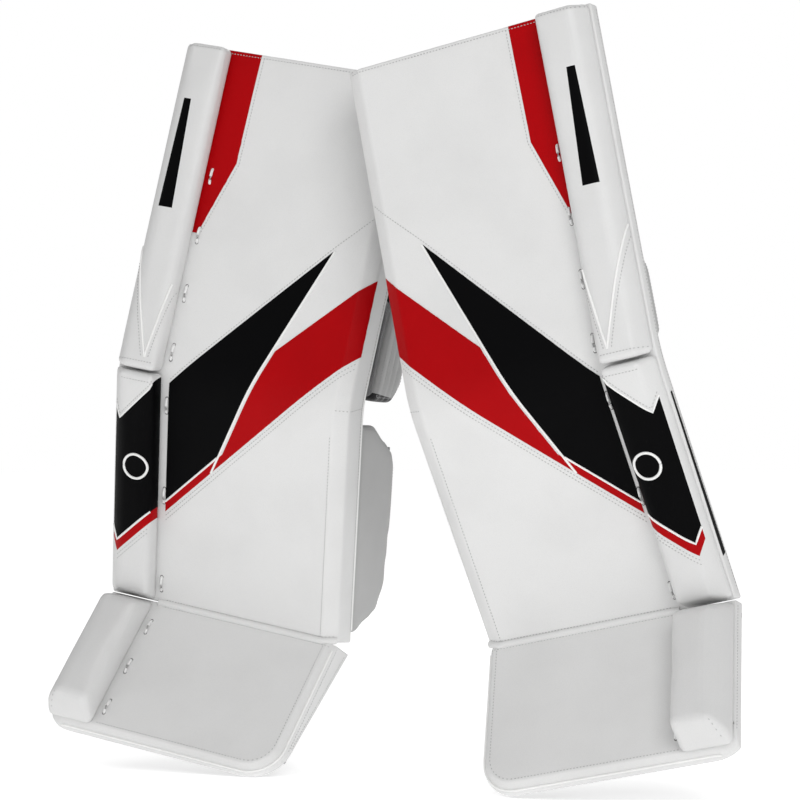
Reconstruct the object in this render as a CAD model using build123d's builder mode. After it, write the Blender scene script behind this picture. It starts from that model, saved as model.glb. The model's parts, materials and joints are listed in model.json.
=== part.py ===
from build123d import *
import os
from math import cos, radians, sin

os.makedirs("parts", exist_ok=True)

# A pair of goalie leg pads, in millimetres and degrees. Every piece is drawn once, for the pad
# of the right leg, in that pad's own frame: X from its outer edge (-) to its inner edge (+),
# Y from its face (-) to the leg (+), Z up the shin from the ankle fold. The left pad is its mirror.

# ---------- driving dimensions ----------
PAD_WIDTH = 280          # the 11 inch limit of the game's rules
SHIN_LENGTH = 272        # ankle fold to knee break, along the face
THIGH_LENGTH = 363       # knee break to top edge
BOOT_LENGTH = 176        # ankle fold to toe edge
KNEE_BREAK = 23          # how far the thigh leans back from the shin
BOOT_BREAK = 55          # how far the boot turns forward from the shin
CORE_BACK = 44           # face to the back of the foam
SKIN = 2                 # thickness of the front cover
LINING = 2.5             # thickness of the back panel
LINING_DROP = 6          # the back panel stops this far below the top edge
FACE_BEVEL_WIDTH = 15    # bevel along the inner edge of the face
FACE_BEVEL_DEPTH = 10
OUTER_SLOPE = 12         # the outer back corner is cut off this far in
OUTER_WALL = 16          # depth of the outer wall, before the slope
ROLL_WIDTH = 57          # base of the outer roll
ROLL_HEIGHT = 22         # how far the roll stands off the face
ROLL_INNER_BEVEL = 1.5
ROLL_OUTER_BEVEL = 18
ROLL_OUTER_DROP = 17
ROLL_GAP = 1.5           # half gap between neighbouring rolls
TOE_THICKNESS = 16       # the boot thins to this at the toe
TOE_CORNER = 40          # inner toe corner radius
TOE_OUTER_CORNER = 25
KNEE_TRAVEL = 14         # angle of the open wedge behind the knee break
ANKLE_RELIEF = 20        # angle by which each side reaches into the wedge behind the ankle
KNEE_ROLL_RELIEF = 3     # the rolls' ends open forwards by this much more than the fold
ANKLE_ROLL_RELIEF = 5
FOLD_GAP = 0.2           # half gap between neighbouring sections at a fold
SPARE = 60               # pieces are drawn this much too long, then cut
LACE_RADIUS = 1.2
LACE_LENGTH = 17
LACE_OFFSET = 6          # from the roll's base to the lace line
WING_THICKNESS = 13
WING_CORNER = 5
WEB_WIDTH = 38           # strap webbing
WEB_THICKNESS = 2.5
CLEAR = 0.5              # running clearance between moving pieces

# Each pad's place: its ankle fold's centre, and its turn, side lean and forward pitch.
RIGHT_PLACE = Pos(-179.22, 142.23, 163.92) * Rot(Z=-22.9) * Rot(Y=10.5) * Rot(X=16.2)
LEFT_PLACE = Pos(236.78, -97.77, 173.92) * Rot(Z=-23.9) * Rot(Y=-12.1) * Rot(X=20.2)

HALF = PAD_WIDTH / 2
WALL = HALF - SKIN
ROLL_BASE = -HALF + ROLL_WIDTH
BACK = CORE_BACK + LINING


def segment(height, lean_back):
    """The frame of one pad section: X across, Y towards the leg, Z up the section."""
    up = (0, sin(radians(lean_back)), cos(radians(lean_back)))
    return Plane(origin=(0, 0, height), x_dir=(1, 0, 0), z_dir=up)


SHIN = segment(0, 0)
THIGH = segment(SHIN_LENGTH, KNEE_BREAK)
BOOT = segment(0, BOOT_BREAK)


def face_of(frame, depth=0):
    """A drawing plane with X across and Y up the section, at a depth behind the face."""
    spot = frame.from_local_coords(Vector(0, depth, 0))
    return Plane(origin=spot, x_dir=frame.x_dir, z_dir=-frame.y_dir)


def cut(frame, tilt, height=0):
    """A cutting plane across a section, which drops by tan(tilt) towards the leg."""
    spot = frame.from_local_coords(Vector(0, 0, height))
    normal = frame.z_dir * cos(radians(tilt)) + frame.y_dir * sin(radians(tilt))
    return Plane(origin=spot, x_dir=frame.x_dir, z_dir=normal)


# The cuts that part the three sections, for what lies behind the face and for the rolls before it.
SHIN_TOP = cut(SHIN, KNEE_BREAK / 2 + KNEE_TRAVEL / 2, SHIN_LENGTH - FOLD_GAP)
THIGH_FOOT = cut(THIGH, -KNEE_BREAK / 2 - KNEE_TRAVEL / 2, FOLD_GAP)
SHIN_FOOT = cut(SHIN, ANKLE_RELIEF, FOLD_GAP)
BOOT_TOP = cut(BOOT, -ANKLE_RELIEF, -FOLD_GAP)
KNEE_ROLL_TOP = cut(SHIN, KNEE_BREAK / 2 - KNEE_ROLL_RELIEF, SHIN_LENGTH - ROLL_GAP)
THIGH_ROLL_FOOT = cut(THIGH, -KNEE_BREAK / 2 + KNEE_ROLL_RELIEF, ROLL_GAP)
KNEE_ROLL_FOOT = cut(SHIN, BOOT_BREAK / 2 + ANKLE_ROLL_RELIEF, ROLL_GAP)
BOOT_ROLL_TOP = cut(BOOT, -BOOT_BREAK / 2 - ANKLE_ROLL_RELIEF, -ROLL_GAP)

CORE_OUTLINE = [
    (-WALL, SKIN),
    (HALF - FACE_BEVEL_WIDTH, SKIN),
    (WALL, FACE_BEVEL_DEPTH + SKIN),
    (WALL, CORE_BACK),
    (-WALL + OUTER_SLOPE, CORE_BACK),
    (-WALL, OUTER_WALL),
]
SKIN_OUTLINE = [
    (-HALF, OUTER_WALL),
    (-HALF, 0),
    (HALF - FACE_BEVEL_WIDTH, 0),
    (HALF, FACE_BEVEL_DEPTH),
    (HALF, CORE_BACK),
    (WALL, CORE_BACK),
    (WALL, FACE_BEVEL_DEPTH + SKIN),
    (HALF - FACE_BEVEL_WIDTH, SKIN),
    (-WALL, SKIN),
    (-WALL, OUTER_WALL),
]
LINING_OUTLINE = [
    (-WALL + OUTER_SLOPE, CORE_BACK),
    (WALL, CORE_BACK),
    (WALL, BACK),
    (-WALL + OUTER_SLOPE, BACK),
]


def roll_outline(height):
    """The cross-section of a roll that stands this high off the face."""
    return [
        (-HALF, 0),
        (-HALF, ROLL_OUTER_DROP - height),
        (-HALF + ROLL_OUTER_BEVEL, -height),
        (ROLL_BASE - ROLL_INNER_BEVEL, -height),
        (ROLL_BASE, 0),
    ]


def export_pair(piece, name):
    """Place one pad piece on both legs, and write each as its own node."""
    solids = {
        "right": piece.part.moved(RIGHT_PLACE),
        "left": mirror(piece.part, about=Plane.YZ).moved(LEFT_PLACE),
    }
    for side, solid in solids.items():
        with BuildPart() as placed:
            add(solid)
        placed.part.label = f"{side}_{name}"
        export_step(placed.part, f"parts/{side}_{name}.step")


def long_piece(frame, outline, low, high, above=None, below=None):
    """A piece of one cross-section along a section, kept above one cut and below another."""
    with BuildPart() as piece:
        with BuildSketch(frame.offset(low)):
            with BuildLine():
                Polyline(*outline, close=True)
            make_face()
        extrude(amount=high - low)
        if above:
            split(bisect_by=above, keep=Keep.TOP)
        if below:
            split(bisect_by=below, keep=Keep.BOTTOM)
    return piece


def plate(frame, outline, depth, thickness, corner=0):
    """A flat piece drawn on a section's face plane, which runs back from a depth."""
    with BuildPart() as piece:
        with BuildSketch(face_of(frame, depth)):
            with BuildLine():
                Polyline(*outline, close=True)
            make_face()
            if corner:
                fillet(vertices(), corner)
        extrude(amount=-thickness)
    return piece


def flank(frame, outline, at_x, thickness, corner=0):
    """A flat piece drawn on a section's side plane as (depth, height), which runs inwards (-X)."""
    spot = frame.from_local_coords(Vector(at_x, 0, 0))
    with BuildPart() as piece:
        with BuildSketch(Plane(origin=spot, x_dir=frame.y_dir, z_dir=frame.x_dir)):
            with BuildLine():
                Polyline(*outline, close=True)
            make_face()
            if corner:
                fillet(vertices(), corner)
        extrude(amount=-thickness)
    return piece


def band(frame, start, middle, end, low, high):
    """Webbing on edge: an arc of three points across the section, as tall as low to high."""
    with BuildPart() as piece:
        with BuildSketch(frame.offset(low)):
            with BuildLine() as line:
                ThreePointArc(start, middle, end)
            trace(line.edges(), line_width=WEB_THICKNESS)
        extrude(amount=high - low)
    return piece


def cord_loops(frame, heights):
    """The short runs of white cord that lace a roll to the face."""
    with BuildPart() as piece:
        for height in heights:
            with BuildSketch(frame.offset(height - LACE_LENGTH / 2)):
                with Locations((ROLL_BASE + LACE_OFFSET, -LACE_RADIUS)):
                    Circle(LACE_RADIUS)
            extrude(amount=LACE_LENGTH)
    return piece


# ---------- thigh section ----------
thigh_core = long_piece(THIGH, CORE_OUTLINE, -SPARE, THIGH_LENGTH - SKIN, above=THIGH_FOOT)
export_pair(thigh_core, "thigh_core")

thigh_cover = long_piece(THIGH, SKIN_OUTLINE, -SPARE, THIGH_LENGTH, above=THIGH_FOOT)
export_pair(thigh_cover, "thigh_cover")

thigh_lining = long_piece(THIGH, LINING_OUTLINE, -SPARE, THIGH_LENGTH - LINING_DROP, above=THIGH_FOOT)
export_pair(thigh_lining, "thigh_lining")

thigh_roll = long_piece(
    THIGH, roll_outline(ROLL_HEIGHT), -SPARE, THIGH_LENGTH, above=THIGH_ROLL_FOOT
)
export_pair(thigh_roll, "thigh_roll")

thigh_laces = cord_loops(THIGH, [24, 90, 156, 222])
export_pair(thigh_laces, "thigh_laces")

# The knee rests on a soft block that also carries the landing at the inner edge.
KNEE_BLOCK_BACK = 76
CRADLE_CORNER = 10
KNEE_BLOCK_OUTER = -92
KNEE_BLOCK_INNER = 137
KNEE_BLOCK_LOW = 18
KNEE_BLOCK_HIGH = 132
knee_cradle = plate(
    THIGH,
    [
        (KNEE_BLOCK_OUTER, KNEE_BLOCK_LOW),
        (KNEE_BLOCK_INNER, KNEE_BLOCK_LOW),
        (KNEE_BLOCK_INNER, KNEE_BLOCK_HIGH),
        (KNEE_BLOCK_OUTER, KNEE_BLOCK_HIGH),
    ],
    BACK,
    KNEE_BLOCK_BACK - BACK,
    CRADLE_CORNER,
)
export_pair(knee_cradle, "knee_cradle")

KNEE_WING_AT = -100      # its leg side
KNEE_WING_THICKNESS = 17
outer_knee_wing = flank(
    THIGH,
    [(BACK, 22), (100, 30), (100, 104), (86, 118), (BACK, 122)],
    KNEE_WING_AT,
    KNEE_WING_THICKNESS,
    WING_CORNER,
)
export_pair(outer_knee_wing, "outer_knee_wing")

# ---------- shin section ----------
shin_core = long_piece(SHIN, CORE_OUTLINE, -SPARE, SHIN_LENGTH + SPARE, above=SHIN_FOOT, below=SHIN_TOP)
export_pair(shin_core, "shin_core")

shin_cover = long_piece(SHIN, SKIN_OUTLINE, -SPARE, SHIN_LENGTH + SPARE, above=SHIN_FOOT, below=SHIN_TOP)
export_pair(shin_cover, "shin_cover")

shin_lining = long_piece(SHIN, LINING_OUTLINE, -SPARE, SHIN_LENGTH + SPARE, above=SHIN_FOOT, below=SHIN_TOP)
export_pair(shin_lining, "shin_lining")

knee_roll = long_piece(
    SHIN,
    roll_outline(ROLL_HEIGHT),
    0,
    SHIN_LENGTH + SPARE,
    above=KNEE_ROLL_FOOT,
    below=KNEE_ROLL_TOP,
)
export_pair(knee_roll, "knee_roll")

shin_laces = cord_loops(SHIN, [23, 129, 235])
export_pair(shin_laces, "shin_laces")

SHIN_CUSHION = 16
shin_cradle = plate(
    SHIN, [(-84, 22), (112, 22), (112, 212), (-84, 212)], BACK, SHIN_CUSHION, CRADLE_CORNER
)
export_pair(shin_cradle, "shin_cradle")

# ---------- boot section ----------
BOOT_BACK_TAPER = (CORE_BACK - TOE_THICKNESS) / BOOT_LENGTH


def boot_sole(depth):
    """The sloping plane behind the boot: at this depth at the ankle, thinner at the toe."""
    return Plane(
        origin=BOOT.from_local_coords(Vector(0, depth, 0)),
        x_dir=BOOT.x_dir,
        z_dir=BOOT.y_dir - BOOT.z_dir * BOOT_BACK_TAPER,
    )


def outer_slope(edge):
    """The plane that cuts off the boot's outer back corner."""
    return Plane(
        origin=BOOT.from_local_coords(Vector(-edge, OUTER_WALL, 0)),
        x_dir=BOOT.z_dir,
        z_dir=BOOT.y_dir * OUTER_SLOPE - BOOT.x_dir * (CORE_BACK - OUTER_WALL),
    )


def boot_blank(grow, front_sole, back_sole):
    """The boot's outline between two sloping planes, its toe rounded and its rim beveled."""
    edge = WALL + grow
    toe = -BOOT_LENGTH + SKIN - grow
    with BuildPart() as blank:
        with BuildSketch(face_of(BOOT, SKIN - grow)) as outline:
            with BuildLine():
                Polyline((-edge, SPARE), (-edge, toe), (edge, toe), (edge, SPARE), close=True)
            make_face()
            fillet(outline.vertices().group_by(Axis.Y)[0].sort_by(Axis.X)[-1], TOE_CORNER)
            fillet(outline.vertices().group_by(Axis.Y)[0].sort_by(Axis.X)[0], TOE_OUTER_CORNER)
        extrude(amount=-2 * CORE_BACK)
        if front_sole:
            split(bisect_by=front_sole, keep=Keep.TOP)
        else:
            front = blank.faces().sort_by(Axis(origin=(0, 0, 0), direction=BOOT.y_dir))[0]
            top_edge = front.edges().sort_by(Axis(origin=(0, 0, 0), direction=BOOT.z_dir))[-1]
            outer_edge = front.edges().sort_by(Axis.X)[0]
            rim = [edge for edge in front.edges() if edge not in (top_edge, outer_edge)]
            chamfer(rim, FACE_BEVEL_WIDTH, FACE_BEVEL_DEPTH, reference=front)
        split(bisect_by=back_sole, keep=Keep.BOTTOM)
        split(bisect_by=BOOT_TOP, keep=Keep.BOTTOM)
        split(bisect_by=outer_slope(edge), keep=Keep.BOTTOM)
    return blank


boot_core = boot_blank(0, None, boot_sole(CORE_BACK))
export_pair(boot_core, "boot_core")

with BuildPart() as boot_cover:
    add(boot_blank(SKIN, None, boot_sole(CORE_BACK)).part)
    add(boot_core.part, mode=Mode.SUBTRACT)
export_pair(boot_cover, "boot_cover")

boot_lining = boot_blank(0, boot_sole(CORE_BACK), boot_sole(BACK))
export_pair(boot_lining, "boot_lining")

BOOT_ROLL_HEIGHT = 40    # the boot roll stands highest
BOOT_ROLL_END = -172     # and stops just short of the toe
BOOT_ROLL_END_TILT = 19
boot_roll = long_piece(
    BOOT,
    roll_outline(BOOT_ROLL_HEIGHT),
    BOOT_ROLL_END,
    SPARE,
    above=cut(BOOT, BOOT_ROLL_END_TILT, BOOT_ROLL_END),
    below=BOOT_ROLL_TOP,
)
export_pair(boot_roll, "boot_roll")

boot_laces = cord_loops(BOOT, [-34, -88, -143])
export_pair(boot_laces, "boot_laces")

# A stiff tab behind the toe, with two eyelets for the toe ties.
EYELET_RADIUS = 3
EYELET_SPACING = 30
TOE_TAB_THICKNESS = 5
TOE_TAB_WIDTH = 64
TOE_TAB_HEIGHT = 30
TOE_TAB_CORNER = 8
TOE_TAB_DROP = BOOT_LENGTH - TOE_TAB_HEIGHT
TOE_TAB = Plane(
    origin=BOOT.from_local_coords(Vector(0, BACK - BOOT_BACK_TAPER * TOE_TAB_DROP, -TOE_TAB_DROP)),
    x_dir=BOOT.x_dir,
    z_dir=boot_sole(BACK).z_dir,
)
with BuildPart() as toe_bridge:
    with BuildSketch(TOE_TAB):
        RectangleRounded(TOE_TAB_WIDTH, TOE_TAB_HEIGHT, TOE_TAB_CORNER)
    extrude(amount=TOE_TAB_THICKNESS)
    with BuildSketch(TOE_TAB):
        with GridLocations(EYELET_SPACING, 0, 2, 1):
            Circle(EYELET_RADIUS)
    extrude(amount=TOE_TAB_THICKNESS, mode=Mode.SUBTRACT)
export_pair(toe_bridge, "toe_bridge")

# ---------- calf wings: soft flaps hinged along both back edges ----------
WING_FRONT = BACK + CLEAR
inner_calf_wing = flank(
    SHIN,
    [
        (WING_FRONT, -10),
        (108, -2),
        (130, 26),
        (138, 99),
        (139, 165),
        (133, 184),
        (80, 232),
        (WING_FRONT, 240),
    ],
    HALF,
    WING_THICKNESS,
    WING_CORNER,
)
export_pair(inner_calf_wing, "inner_calf_wing")

# The outer wing closes in round the calf.
OUTER_WING_LEAN = 22
OUTER_WING_FRONT = BACK + 2 * CLEAR + WING_THICKNESS * sin(radians(OUTER_WING_LEAN))
OUTER_WING = Plane(
    origin=(-WALL + OUTER_SLOPE, OUTER_WING_FRONT, 0),
    x_dir=(cos(radians(OUTER_WING_LEAN)), -sin(radians(OUTER_WING_LEAN)), 0),
    z_dir=(0, 0, 1),
)
outer_calf_wing = flank(
    OUTER_WING,
    [(0, 14), (42, 30), (60, 60), (68, 110), (70, 172), (60, 194), (0, 226)],
    WING_THICKNESS,
    WING_THICKNESS,
    WING_CORNER,
)
export_pair(outer_calf_wing, "outer_calf_wing")

# ---------- knee landing: the block at the inner edge that the knee comes down on ----------
LANDING_FRONT = KNEE_BLOCK_BACK + CLEAR
LANDING_BACK = 144
LANDING_SIDE = 139       # its outer side, just within the pad's edge
LANDING_WIDTH = 46
LANDING_CORNER = 6
knee_landing = flank(
    THIGH,
    [
        (LANDING_FRONT, 16),
        (128, 20),
        (LANDING_BACK, 42),
        (LANDING_BACK, 128),
        (126, 146),
        (LANDING_FRONT, 150),
    ],
    LANDING_SIDE,
    LANDING_WIDTH,
    LANDING_CORNER,
)
export_pair(knee_landing, "knee_landing")

# ---------- straps ----------
# Calf straps are anchored behind the outer wing and reach round to rings on the inner wing.
UPPER_STRAP = 140
LOWER_STRAP = 70
STRAP_END = 112
STRAP_START = (-98, 118)  # the anchor, behind the outer wing's back edge
STRAP_MIDDLE = (0, 160)
STRAP_FINISH = (102, 136)
HOOK_LENGTH = 18
HOOK_THICKNESS = 5
HOOK_MARGIN = 2          # the hook stands out past the webbing, above and below
HOOK_DEPTH = 131.5

for name, low in (("upper_calf", UPPER_STRAP), ("lower_calf", LOWER_STRAP)):
    calf_strap = band(SHIN, STRAP_START, STRAP_MIDDLE, STRAP_FINISH, low, low + WEB_WIDTH)
    export_pair(calf_strap, f"{name}_strap")

    with BuildPart() as calf_hook:
        with BuildSketch(SHIN.offset(low - HOOK_MARGIN)):
            with Locations((STRAP_END, HOOK_DEPTH)):
                RectangleRounded(HOOK_LENGTH, HOOK_THICKNESS, HOOK_MARGIN)
        extrude(amount=WEB_WIDTH + 2 * HOOK_MARGIN)
    export_pair(calf_hook, f"{name}_hook")

# Two flat rings stand out behind the inner wing, on its leg side.
RING_LENGTH = 24
RING_DEPTH = 138         # where each ring's middle stands
RING_SLOT = 6
RING_THICKNESS = 2.5
RING_SIDE = Plane(origin=(HALF - WING_THICKNESS, RING_DEPTH, 0), x_dir=(0, 1, 0), z_dir=(1, 0, 0))
with BuildPart() as wing_rings:
    with BuildSketch(RING_SIDE):
        for low in (UPPER_STRAP, LOWER_STRAP):
            with Locations((0, low + WEB_WIDTH / 2)):
                Rectangle(RING_LENGTH, WEB_WIDTH + RING_SLOT)
            with Locations((RING_SLOT, low + WEB_WIDTH / 2)):
                Rectangle(RING_SLOT, WEB_WIDTH - HOOK_MARGIN, mode=Mode.SUBTRACT)
    extrude(amount=-RING_THICKNESS)
export_pair(wing_rings, "wing_rings")

# The knee strap is anchored on the landing and closes on the outer knee wing.
KNEE_STRAP_LOW = 50
KNEE_STRAP_START = (112, LANDING_BACK + HOOK_MARGIN)
KNEE_STRAP_MIDDLE = (0, 150)
KNEE_STRAP_FINISH = (-106, 103)
knee_strap = band(
    THIGH, KNEE_STRAP_START, KNEE_STRAP_MIDDLE, KNEE_STRAP_FINISH, KNEE_STRAP_LOW, KNEE_STRAP_LOW + WEB_WIDTH
)
export_pair(knee_strap, "knee_strap")

# The boot strap is a loop round the skate's heel, which swings on its two anchors.
BOOT_STRAP_LOW = -66
BOOT_STRAP_WIDTH = 26
HEEL_ANCHOR = 112        # each anchor stands this far from the boot's middle
HEEL_ANCHOR_DEPTH = 42
HEEL_LOOP_DEPTH = 138    # room for the skate's heel
boot_strap = band(
    BOOT,
    (-HEEL_ANCHOR, HEEL_ANCHOR_DEPTH),
    (0, HEEL_LOOP_DEPTH),
    (HEEL_ANCHOR, HEEL_ANCHOR_DEPTH),
    BOOT_STRAP_LOW,
    BOOT_STRAP_LOW + BOOT_STRAP_WIDTH,
)
export_pair(boot_strap, "boot_strap")
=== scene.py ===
import json
import math

import bmesh
import bpy
from mathutils import Matrix, Vector
from mathutils.bvhtree import BVHTree


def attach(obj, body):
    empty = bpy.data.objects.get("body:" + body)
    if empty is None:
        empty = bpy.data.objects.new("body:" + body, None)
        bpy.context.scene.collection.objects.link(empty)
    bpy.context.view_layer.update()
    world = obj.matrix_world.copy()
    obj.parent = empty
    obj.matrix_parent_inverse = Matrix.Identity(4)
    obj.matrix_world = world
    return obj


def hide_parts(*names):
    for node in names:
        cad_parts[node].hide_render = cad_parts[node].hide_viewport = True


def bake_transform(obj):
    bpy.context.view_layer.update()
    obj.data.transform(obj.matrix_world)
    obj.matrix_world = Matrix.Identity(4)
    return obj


bl_info = {
    "name": "Goalie Leg Pads",
    "version": (1, 0, 0),
    "blender": (4, 5, 0),
    "location": "3D View > Sidebar > Leg Pads",
    "description": "Covers, rolls, stitching, wings and straps of a pair of goalie leg pads",
    "category": "Object",
}

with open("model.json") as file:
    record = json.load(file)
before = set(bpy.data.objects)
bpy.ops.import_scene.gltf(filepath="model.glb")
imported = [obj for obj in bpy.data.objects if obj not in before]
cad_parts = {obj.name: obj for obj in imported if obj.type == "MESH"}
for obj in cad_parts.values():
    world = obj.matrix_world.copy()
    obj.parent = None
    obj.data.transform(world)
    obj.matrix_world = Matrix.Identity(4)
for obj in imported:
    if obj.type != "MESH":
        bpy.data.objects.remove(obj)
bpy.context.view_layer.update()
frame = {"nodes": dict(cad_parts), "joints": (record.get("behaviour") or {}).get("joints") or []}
JOINTS = {joint["name"]: joint for joint in frame["joints"]}
SIDES = ("right", "left")

# Pieces are drawn in millimetres in a section's own frame: X from the outer edge (-) to the inner
# edge (+), Y from the face (-) to the leg (+), Z up the section. The left pad is the mirror.
MILLIMETRE = Matrix.Scale(0.001, 4)
HALF = 140.0
SHIN = 272.0
THIGH = 363.0
TOP = SHIN + THIGH
BOOT = 176.0
BACK = 44.0
LINING = 2.5
BEVEL_WIDTH = 15.0
BEVEL_DEPTH = 10.0
OUTER_WALL = 16.0
OUTER_SLOPE = 12.0
ROLL_BASE = -83.0
ROLL_HEIGHT = 22.0
KNEE_BREAK = math.radians(23)
BOOT_BREAK = math.radians(55)
ANKLE_RELIEF = math.radians(20)
TOE_DEPTH = 16.0
FOLD = 50.0
LACE_LINE = -77.0
GRID = 9.0


# ---------- frames ----------
def pad_matrix(side):
    """Where one pad's own frame lies, from its ankle and knee hinges."""
    ankle = Vector(JOINTS[f"{side}_boot_flex"]["pos_m"])
    knee = Vector(JOINTS[f"{side}_knee_flex"]["pos_m"])
    across = -Vector(JOINTS[f"{side}_knee_flex"]["axis"]).normalized()
    up = (knee - ankle).normalized()
    back = up.cross(across)
    place = Matrix((across, back, up)).transposed().to_4x4()
    place.translation = ankle
    if side == "left":
        place = place @ Matrix.Diagonal((-1, 1, 1, 1))
    return place @ MILLIMETRE


SECTION = {
    "shin": Matrix.Identity(4),
    "thigh": Matrix.Translation((0, 0, SHIN)) @ Matrix.Rotation(-KNEE_BREAK, 4, "X"),
    "boot": Matrix.Rotation(-BOOT_BREAK, 4, "X"),
}


def fold_over_knee(bm):
    """Bend a piece that was drawn flat, from ankle to top edge, back over the knee."""
    first = SHIN - FOLD / 2
    radius = FOLD / KNEE_BREAK
    for vert in bm.verts:
        x, y, u = vert.co
        angle = KNEE_BREAK * min(max((u - first) / FOLD, 0), 1)
        past = max(u - first - FOLD, 0)
        z = min(u, first) + radius * math.sin(angle) + past * math.cos(KNEE_BREAK)
        behind = radius * (1 - math.cos(angle)) + past * math.sin(KNEE_BREAK)
        vert.co = (x, behind + y * math.cos(angle), z - y * math.sin(angle))


# ---------- making pieces ----------
def material(name):
    return bpy.data.materials[name]


def add_object(name, bm, materials, smooth_angle=50):
    """A mesh object at the origin from a bmesh in row-frame metres."""
    mesh = bpy.data.meshes.new(name)
    bm.to_mesh(mesh)
    piece = bpy.data.objects.new(name, mesh)
    bpy.context.scene.collection.objects.link(piece)
    for finish in materials:
        mesh.materials.append(material(finish))
    mesh.shade_smooth()
    if smooth_angle:
        mesh.set_sharp_from_angle(angle=math.radians(smooth_angle))
    return piece


def add_pair(
    name, bm, section, body, materials, slot, replaces=(), padded=None, blend=None, smooth_angle=50
):
    """Place one drawn piece on both pads, mirrored on the left. Section "folded" is drawn flat."""
    if section == "folded":
        fold_over_knee(bm)
    local = SECTION["shin" if section == "folded" else section]
    made = []
    for side in SIDES:
        copy = bm.copy()
        bmesh.ops.transform(copy, matrix=pad_matrix(side) @ local, verts=copy.verts)
        if side == "left":
            bmesh.ops.reverse_faces(copy, faces=copy.faces)
        piece = add_object(f"{side}_{name}", copy, materials, smooth_angle)
        copy.free()
        if blend:
            place = pad_matrix(side)
            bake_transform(piece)
        else:
            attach(piece, f"{side}_{body}")
        if replaces:
            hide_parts(*[f"{side}_{node}" for node in replaces])
        made.append(piece)
    bm.free()
    return made


KNEE_BLEND = (SHIN - FOLD / 2, SHIN + FOLD / 2)


def outward(bm):
    bmesh.ops.remove_doubles(bm, verts=bm.verts, dist=0.01)
    bmesh.ops.recalc_face_normals(bm, faces=bm.faces)


def prism(profile, low, high):
    """A solid of one cross-section (x, y) between two heights."""
    bm = bmesh.new()
    corners = [bm.verts.new((x, y, low)) for x, y in profile]
    base = bm.faces.new(corners)
    top = bmesh.ops.extrude_face_region(bm, geom=[base])
    lifted = [item for item in top["geom"] if isinstance(item, bmesh.types.BMVert)]
    bmesh.ops.translate(bm, vec=(0, 0, high - low), verts=lifted)
    outward(bm)
    return bm


def merge(bm, other):
    """Add another drawn part to a piece."""
    mesh = bpy.data.meshes.new("part")
    other.to_mesh(mesh)
    other.free()
    bm.from_mesh(mesh)
    bpy.data.meshes.remove(mesh)


def trim(bm, point, normal):
    """Cut away what lies beyond a plane and close the cut."""
    whole = bm.verts[:] + bm.edges[:] + bm.faces[:]
    cut = bmesh.ops.bisect_plane(
        bm, geom=whole, plane_co=point, plane_no=normal, clear_outer=True
    )
    edges = [item for item in cut["geom_cut"] if isinstance(item, bmesh.types.BMEdge)]
    bmesh.ops.contextual_create(bm, geom=edges)


def score(bm, point, normal, faces=None):
    """Cut a line of edges across a piece, or across some of its faces."""
    chosen = list(bm.faces) if faces is None else faces
    edges = {edge for face in chosen for edge in face.edges}
    verts = {vert for face in chosen for vert in face.verts}
    bmesh.ops.bisect_plane(
        bm, geom=list(verts) + list(edges) + chosen, plane_co=point, plane_no=normal, dist=0.01
    )


def grid(bm, axis, low, high, step):
    """Score a piece at even steps along an axis."""
    count = max(1, round((high - low) / step))
    normal = Vector((0, 0, 0))
    normal[axis] = 1
    for number in range(1, count):
        score(bm, normal * (low + (high - low) * number / count), normal)


def round_edges(bm, width, segments=2, angle=25):
    """Round every edge that turns by more than an angle, in degrees."""
    sharp = [
        edge
        for edge in bm.edges
        if len(edge.link_faces) == 2 and edge.calc_face_angle() > math.radians(angle)
    ]
    bmesh.ops.bevel(
        bm,
        geom=sharp,
        offset=width,
        offset_type="OFFSET",
        segments=segments,
        profile=0.5,
        affect="EDGES",
        material=-1,
    )


def tube(bm, points, radius, sides=8):
    """A round cord along points, closed at both ends."""
    path = [Vector(point) for point in points]
    rings = []
    for number, point in enumerate(path):
        before = path[max(number - 1, 0)]
        after = path[min(number + 1, len(path) - 1)]
        turn = (after - before).to_track_quat("Z", "Y").to_matrix().to_4x4()
        place = Matrix.Translation(point) @ turn
        ring = bmesh.ops.create_circle(bm, segments=sides, radius=radius, matrix=place)
        rings.append(ring["verts"])
    for first, second in zip(rings, rings[1:]):
        for number in range(sides):
            nearby = (number + 1) % sides
            bm.faces.new((first[number], first[nearby], second[nearby], second[number]))
    bm.faces.new(rings[0])
    bm.faces.new(rings[-1])


def arc_points(centre, radius, count, first=0.0, last=360.0):
    """Evenly spaced points, as (across, up), round an arc between two angles in degrees."""
    points = []
    for number in range(count + 1):
        angle = math.radians(first + (last - first) * number / count)
        points.append((centre[0] + radius * math.cos(angle), centre[1] + radius * math.sin(angle)))
    return points


def spaced(points, step):
    """Evenly spaced points along a line of corners."""
    corners = [Vector(point) for point in points]
    found = []
    for start, finish in zip(corners, corners[1:]):
        count = max(1, round((finish - start).length / step))
        found += [start.lerp(finish, number / count) for number in range(count)]
    return found + [corners[-1]]


class Surface:
    """A finished piece's surface, on which seams and threads are laid."""

    def __init__(self, bm):
        self.tree = BVHTree.FromBMesh(bm)

    def front(self, x, z):
        """The point and outward direction where a line from in front meets the piece."""
        spot, normal, _, _ = self.tree.ray_cast(Vector((x, -200, z)), Vector((0, 1, 0)))
        return spot, normal

    def inner(self, y, z):
        """The same from the inner side."""
        spot, normal, _, _ = self.tree.ray_cast(Vector((300, y, z)), Vector((-1, 0, 0)))
        return spot, normal

    def outer(self, y, z):
        spot, normal, _, _ = self.tree.ray_cast(Vector((-300, y, z)), Vector((1, 0, 0)))
        return spot, normal

    def behind(self, x, z):
        spot, normal, _, _ = self.tree.ray_cast(Vector((x, 400, z)), Vector((0, -1, 0)))
        return spot, normal


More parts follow.
